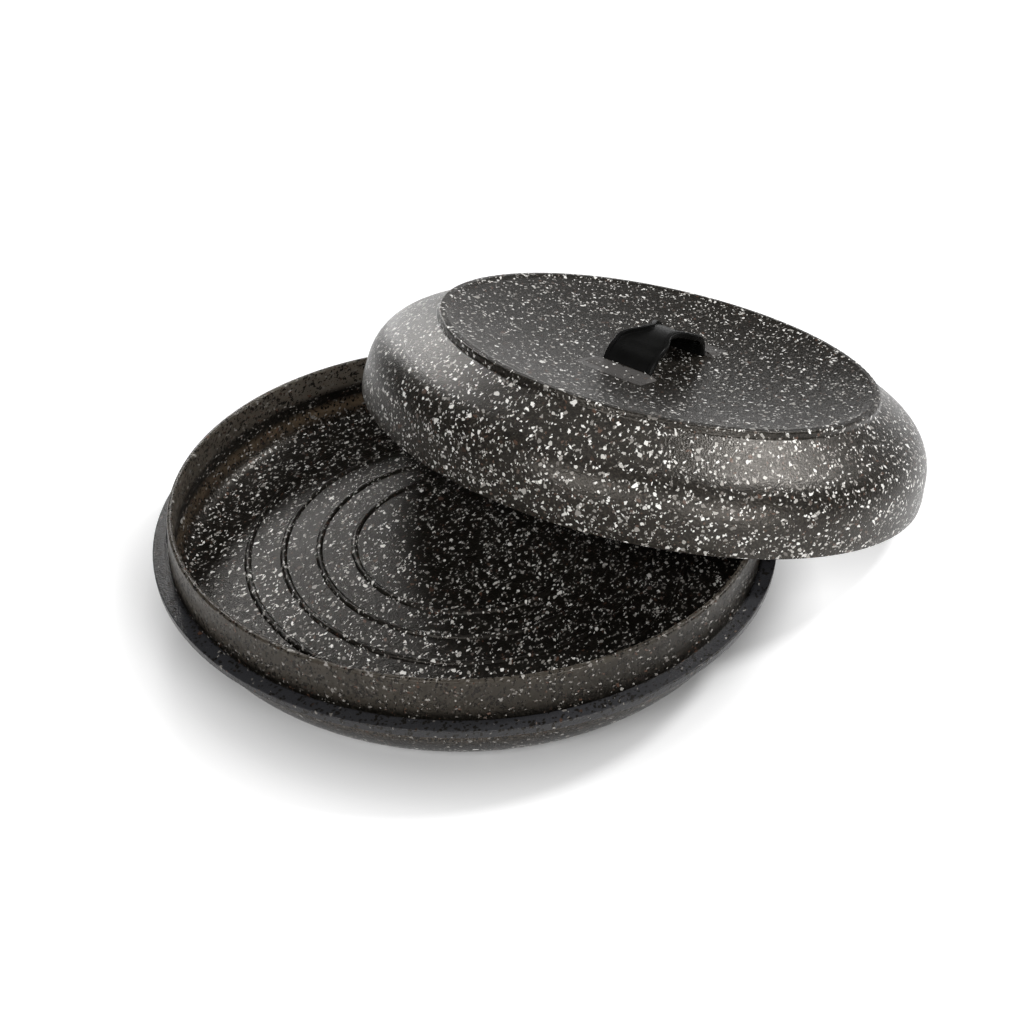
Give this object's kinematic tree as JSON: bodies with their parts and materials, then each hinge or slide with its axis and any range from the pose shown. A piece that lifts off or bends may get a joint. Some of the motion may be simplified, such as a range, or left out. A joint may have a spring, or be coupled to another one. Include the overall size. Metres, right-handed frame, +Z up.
{
  "type": "tortilla warmer",
  "caption": "Round speckled plastic food warmer: shallow ribbed base, and a domed lid with a dished top and a snap-in strap handle, parked leaning on the base.",
  "frame": {"origin": "centre of the base's foot ring, on the table", "axes": "+Z up along the base's axis; +Y away from the viewer; +X to the viewer's right, the parked lid lies toward +X and +Y"},
  "size_m": [0.3654, 0.3584, 0.0974],
  "materials": {
    "speckled_plastic": "satin charcoal with pale mineral-like flakes",
    "black_plastic": "fine satin black"
  },
  "bodies": {
    "base": {"base": "speckled_plastic"},
    "lid": {"lid": "speckled_plastic", "handle": "black_plastic"}
  },
  "joints": [
    {"name": "lid_lift", "type": "slide", "parent": "base", "child": "lid", "axis": [0, 0, 1], "range_m": [0, 0.12]}
  ]
}
